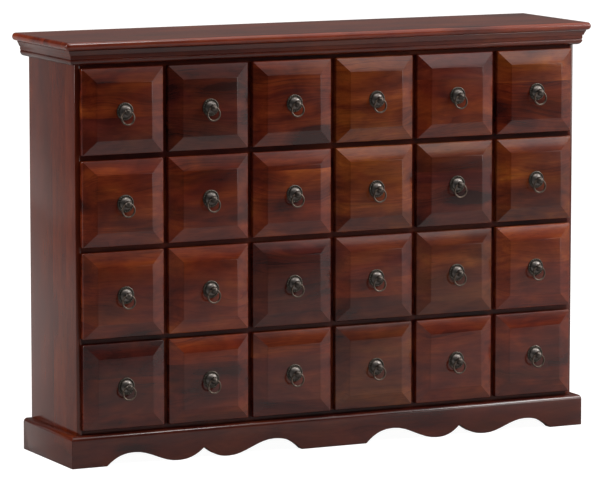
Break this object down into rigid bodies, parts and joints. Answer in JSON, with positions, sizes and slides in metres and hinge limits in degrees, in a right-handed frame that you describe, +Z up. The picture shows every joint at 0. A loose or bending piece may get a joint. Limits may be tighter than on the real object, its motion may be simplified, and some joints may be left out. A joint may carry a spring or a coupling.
{
  "type": "apothecary chest",
  "caption": "Low, wide chest of small square drawers with fielded fronts and drop ring pulls, under a moulded top and on a plinth with a shaped apron.",
  "frame": {"origin": "on the floor, under the middle of the whole box of the chest, pulls included", "axes": "+X to the viewer's right along the front, +Y from the front to the back, +Z up"},
  "size_m": [1.24, 0.3114, 0.889],
  "materials": {
    "carcass_wood": "dark stained and varnished, satin gloss",
    "front_wood": "stained and varnished, glossy, grain across",
    "box_wood": "bare pale wood",
    "pull_metal": "dark antique",
    "steel": "plain"
  },
  "bodies": {
    "carcass": {"top_board": "carcass_wood", "cornice_front": "carcass_wood", "cornice_returns": "carcass_wood", "side_left": "carcass_wood", "side_right": "carcass_wood", "back_panel": "box_wood", "shelf_boards": "carcass_wood", "partitions": "carcass_wood", "rails": "box_wood", "plinth_front": "carcass_wood", "plinth_returns": "carcass_wood", "back_screws": "steel"},
    "drawer_r1_c1": {"drawer_r1_c1": "front_wood"},
    "ring_r1_c1": {"ring_r1_c1": "pull_metal"},
    "drawer_r1_c2": {"drawer_r1_c2": "front_wood"},
    "ring_r1_c2": {"ring_r1_c2": "pull_metal"},
    "drawer_r1_c3": {"drawer_r1_c3": "front_wood"},
    "ring_r1_c3": {"ring_r1_c3": "pull_metal"},
    "drawer_r1_c4": {"drawer_r1_c4": "front_wood"},
    "ring_r1_c4": {"ring_r1_c4": "pull_metal"},
    "drawer_r1_c5": {"drawer_r1_c5": "front_wood"},
    "ring_r1_c5": {"ring_r1_c5": "pull_metal"},
    "drawer_r1_c6": {"drawer_r1_c6": "front_wood"},
    "ring_r1_c6": {"ring_r1_c6": "pull_metal"},
    "drawer_r2_c1": {"drawer_r2_c1": "front_wood"},
    "ring_r2_c1": {"ring_r2_c1": "pull_metal"},
    "drawer_r2_c2": {"drawer_r2_c2": "front_wood"},
    "ring_r2_c2": {"ring_r2_c2": "pull_metal"},
    "drawer_r2_c3": {"drawer_r2_c3": "front_wood"},
    "ring_r2_c3": {"ring_r2_c3": "pull_metal"},
    "drawer_r2_c4": {"drawer_r2_c4": "front_wood"},
    "ring_r2_c4": {"ring_r2_c4": "pull_metal"},
    "drawer_r2_c5": {"drawer_r2_c5": "front_wood"},
    "ring_r2_c5": {"ring_r2_c5": "pull_metal"},
    "drawer_r2_c6": {"drawer_r2_c6": "front_wood"},
    "ring_r2_c6": {"ring_r2_c6": "pull_metal"},
    "drawer_r3_c1": {"drawer_r3_c1": "front_wood"},
    "ring_r3_c1": {"ring_r3_c1": "pull_metal"},
    "drawer_r3_c2": {"drawer_r3_c2": "front_wood"},
    "ring_r3_c2": {"ring_r3_c2": "pull_metal"},
    "drawer_r3_c3": {"drawer_r3_c3": "front_wood"},
    "ring_r3_c3": {"ring_r3_c3": "pull_metal"},
    "drawer_r3_c4": {"drawer_r3_c4": "front_wood"},
    "ring_r3_c4": {"ring_r3_c4": "pull_metal"},
    "drawer_r3_c5": {"drawer_r3_c5": "front_wood"},
    "ring_r3_c5": {"ring_r3_c5": "pull_metal"},
    "drawer_r3_c6": {"drawer_r3_c6": "front_wood"},
    "ring_r3_c6": {"ring_r3_c6": "pull_metal"},
    "drawer_r4_c1": {"drawer_r4_c1": "front_wood"},
    "ring_r4_c1": {"ring_r4_c1": "pull_metal"},
    "drawer_r4_c2": {"drawer_r4_c2": "front_wood"},
    "ring_r4_c2": {"ring_r4_c2": "pull_metal"},
    "drawer_r4_c3": {"drawer_r4_c3": "front_wood"},
    "ring_r4_c3": {"ring_r4_c3": "pull_metal"},
    "drawer_r4_c4": {"drawer_r4_c4": "front_wood"},
    "ring_r4_c4": {"ring_r4_c4": "pull_metal"},
    "drawer_r4_c5": {"drawer_r4_c5": "front_wood"},
    "ring_r4_c5": {"ring_r4_c5": "pull_metal"},
    "drawer_r4_c6": {"drawer_r4_c6": "front_wood"},
    "ring_r4_c6": {"ring_r4_c6": "pull_metal"}
  },
  "joints": [
    {"name": "slide_r1_c1", "type": "slide", "parent": "carcass", "child": "drawer_r1_c1", "axis": [0, -1, 0], "range_m": [0, 0.17]},
    {"name": "slide_r1_c2", "type": "slide", "parent": "carcass", "child": "drawer_r1_c2", "axis": [0, -1, 0], "range_m": [0, 0.17]},
    {"name": "slide_r1_c3", "type": "slide", "parent": "carcass", "child": "drawer_r1_c3", "axis": [0, -1, 0], "range_m": [0, 0.17]},
    {"name": "slide_r1_c4", "type": "slide", "parent": "carcass", "child": "drawer_r1_c4", "axis": [0, -1, 0], "range_m": [0, 0.17]},
    {"name": "slide_r1_c5", "type": "slide", "parent": "carcass", "child": "drawer_r1_c5", "axis": [0, -1, 0], "range_m": [0, 0.17]},
    {"name": "slide_r1_c6", "type": "slide", "parent": "carcass", "child": "drawer_r1_c6", "axis": [0, -1, 0], "range_m": [0, 0.17]},
    {"name": "slide_r2_c1", "type": "slide", "parent": "carcass", "child": "drawer_r2_c1", "axis": [0, -1, 0], "range_m": [0, 0.17]},
    {"name": "slide_r2_c2", "type": "slide", "parent": "carcass", "child": "drawer_r2_c2", "axis": [0, -1, 0], "range_m": [0, 0.17]},
    {"name": "slide_r2_c3", "type": "slide", "parent": "carcass", "child": "drawer_r2_c3", "axis": [0, -1, 0], "range_m": [0, 0.17]},
    {"name": "slide_r2_c4", "type": "slide", "parent": "carcass", "child": "drawer_r2_c4", "axis": [0, -1, 0], "range_m": [0, 0.17]},
    {"name": "slide_r2_c5", "type": "slide", "parent": "carcass", "child": "drawer_r2_c5", "axis": [0, -1, 0], "range_m": [0, 0.17]},
    {"name": "slide_r2_c6", "type": "slide", "parent": "carcass", "child": "drawer_r2_c6", "axis": [0, -1, 0], "range_m": [0, 0.17]},
    {"name": "slide_r3_c1", "type": "slide", "parent": "carcass", "child": "drawer_r3_c1", "axis": [0, -1, 0], "range_m": [0, 0.17]},
    {"name": "slide_r3_c2", "type": "slide", "parent": "carcass", "child": "drawer_r3_c2", "axis": [0, -1, 0], "range_m": [0, 0.17]},
    {"name": "slide_r3_c3", "type": "slide", "parent": "carcass", "child": "drawer_r3_c3", "axis": [0, -1, 0], "range_m": [0, 0.17]},
    {"name": "slide_r3_c4", "type": "slide", "parent": "carcass", "child": "drawer_r3_c4", "axis": [0, -1, 0], "range_m": [0, 0.17]},
    {"name": "slide_r3_c5", "type": "slide", "parent": "carcass", "child": "drawer_r3_c5", "axis": [0, -1, 0], "range_m": [0, 0.17]},
    {"name": "slide_r3_c6", "type": "slide", "parent": "carcass", "child": "drawer_r3_c6", "axis": [0, -1, 0], "range_m": [0, 0.17]},
    {"name": "slide_r4_c1", "type": "slide", "parent": "carcass", "child": "drawer_r4_c1", "axis": [0, -1, 0], "range_m": [0, 0.17]},
    {"name": "slide_r4_c2", "type": "slide", "parent": "carcass", "child": "drawer_r4_c2", "axis": [0, -1, 0], "range_m": [0, 0.17]},
    {"name": "slide_r4_c3", "type": "slide", "parent": "carcass", "child": "drawer_r4_c3", "axis": [0, -1, 0], "range_m": [0, 0.17]},
    {"name": "slide_r4_c4", "type": "slide", "parent": "carcass", "child": "drawer_r4_c4", "axis": [0, -1, 0], "range_m": [0, 0.17]},
    {"name": "slide_r4_c5", "type": "slide", "parent": "carcass", "child": "drawer_r4_c5", "axis": [0, -1, 0], "range_m": [0, 0.17]},
    {"name": "slide_r4_c6", "type": "slide", "parent": "carcass", "child": "drawer_r4_c6", "axis": [0, -1, 0], "range_m": [0, 0.17]},
    {"name": "swing_r1_c1", "type": "hinge", "parent": "drawer_r1_c1", "child": "ring_r1_c1", "pos_m": [-0.48729, -0.1477, 0.74238], "axis": [-1, 0, 0], "range_deg": [-28, 208]},
    {"name": "swing_r1_c2", "type": "hinge", "parent": "drawer_r1_c2", "child": "ring_r1_c2", "pos_m": [-0.29237, -0.1477, 0.74238], "axis": [-1, 0, 0], "range_deg": [-28, 208]},
    {"name": "swing_r1_c3", "type": "hinge", "parent": "drawer_r1_c3", "child": "ring_r1_c3", "pos_m": [-0.09746, -0.1477, 0.74238], "axis": [-1, 0, 0], "range_deg": [-28, 208]},
    {"name": "swing_r1_c4", "type": "hinge", "parent": "drawer_r1_c4", "child": "ring_r1_c4", "pos_m": [0.09746, -0.1477, 0.74238], "axis": [-1, 0, 0], "range_deg": [-28, 208]},
    {"name": "swing_r1_c5", "type": "hinge", "parent": "drawer_r1_c5", "child": "ring_r1_c5", "pos_m": [0.29237, -0.1477, 0.74238], "axis": [-1, 0, 0], "range_deg": [-28, 208]},
    {"name": "swing_r1_c6", "type": "hinge", "parent": "drawer_r1_c6", "child": "ring_r1_c6", "pos_m": [0.48729, -0.1477, 0.74238], "axis": [-1, 0, 0], "range_deg": [-28, 208]},
    {"name": "swing_r2_c1", "type": "hinge", "parent": "drawer_r2_c1", "child": "ring_r2_c1", "pos_m": [-0.48729, -0.1477, 0.55063], "axis": [-1, 0, 0], "range_deg": [-28, 208]},
    {"name": "swing_r2_c2", "type": "hinge", "parent": "drawer_r2_c2", "child": "ring_r2_c2", "pos_m": [-0.29237, -0.1477, 0.55063], "axis": [-1, 0, 0], "range_deg": [-28, 208]},
    {"name": "swing_r2_c3", "type": "hinge", "parent": "drawer_r2_c3", "child": "ring_r2_c3", "pos_m": [-0.09746, -0.1477, 0.55063], "axis": [-1, 0, 0], "range_deg": [-28, 208]},
    {"name": "swing_r2_c4", "type": "hinge", "parent": "drawer_r2_c4", "child": "ring_r2_c4", "pos_m": [0.09746, -0.1477, 0.55063], "axis": [-1, 0, 0], "range_deg": [-28, 208]},
    {"name": "swing_r2_c5", "type": "hinge", "parent": "drawer_r2_c5", "child": "ring_r2_c5", "pos_m": [0.29237, -0.1477, 0.55063], "axis": [-1, 0, 0], "range_deg": [-28, 208]},
    {"name": "swing_r2_c6", "type": "hinge", "parent": "drawer_r2_c6", "child": "ring_r2_c6", "pos_m": [0.48729, -0.1477, 0.55063], "axis": [-1, 0, 0], "range_deg": [-28, 208]},
    {"name": "swing_r3_c1", "type": "hinge", "parent": "drawer_r3_c1", "child": "ring_r3_c1", "pos_m": [-0.48729, -0.1477, 0.35887], "axis": [-1, 0, 0], "range_deg": [-28, 208]},
    {"name": "swing_r3_c2", "type": "hinge", "parent": "drawer_r3_c2", "child": "ring_r3_c2", "pos_m": [-0.29237, -0.1477, 0.35887], "axis": [-1, 0, 0], "range_deg": [-28, 208]},
    {"name": "swing_r3_c3", "type": "hinge", "parent": "drawer_r3_c3", "child": "ring_r3_c3", "pos_m": [-0.09746, -0.1477, 0.35887], "axis": [-1, 0, 0], "range_deg": [-28, 208]},
    {"name": "swing_r3_c4", "type": "hinge", "parent": "drawer_r3_c4", "child": "ring_r3_c4", "pos_m": [0.09746, -0.1477, 0.35887], "axis": [-1, 0, 0], "range_deg": [-28, 208]},
    {"name": "swing_r3_c5", "type": "hinge", "parent": "drawer_r3_c5", "child": "ring_r3_c5", "pos_m": [0.29237, -0.1477, 0.35887], "axis": [-1, 0, 0], "range_deg": [-28, 208]},
    {"name": "swing_r3_c6", "type": "hinge", "parent": "drawer_r3_c6", "child": "ring_r3_c6", "pos_m": [0.48729, -0.1477, 0.35887], "axis": [-1, 0, 0], "range_deg": [-28, 208]},
    {"name": "swing_r4_c1", "type": "hinge", "parent": "drawer_r4_c1", "child": "ring_r4_c1", "pos_m": [-0.48729, -0.1477, 0.16712], "axis": [-1, 0, 0], "range_deg": [-28, 208]},
    {"name": "swing_r4_c2", "type": "hinge", "parent": "drawer_r4_c2", "child": "ring_r4_c2", "pos_m": [-0.29237, -0.1477, 0.16712], "axis": [-1, 0, 0], "range_deg": [-28, 208]},
    {"name": "swing_r4_c3", "type": "hinge", "parent": "drawer_r4_c3", "child": "ring_r4_c3", "pos_m": [-0.09746, -0.1477, 0.16712], "axis": [-1, 0, 0], "range_deg": [-28, 208]},
    {"name": "swing_r4_c4", "type": "hinge", "parent": "drawer_r4_c4", "child": "ring_r4_c4", "pos_m": [0.09746, -0.1477, 0.16712], "axis": [-1, 0, 0], "range_deg": [-28, 208]},
    {"name": "swing_r4_c5", "type": "hinge", "parent": "drawer_r4_c5", "child": "ring_r4_c5", "pos_m": [0.29237, -0.1477, 0.16712], "axis": [-1, 0, 0], "range_deg": [-28, 208]},
    {"name": "swing_r4_c6", "type": "hinge", "parent": "drawer_r4_c6", "child": "ring_r4_c6", "pos_m": [0.48729, -0.1477, 0.16712], "axis": [-1, 0, 0], "range_deg": [-28, 208]}
  ]
}
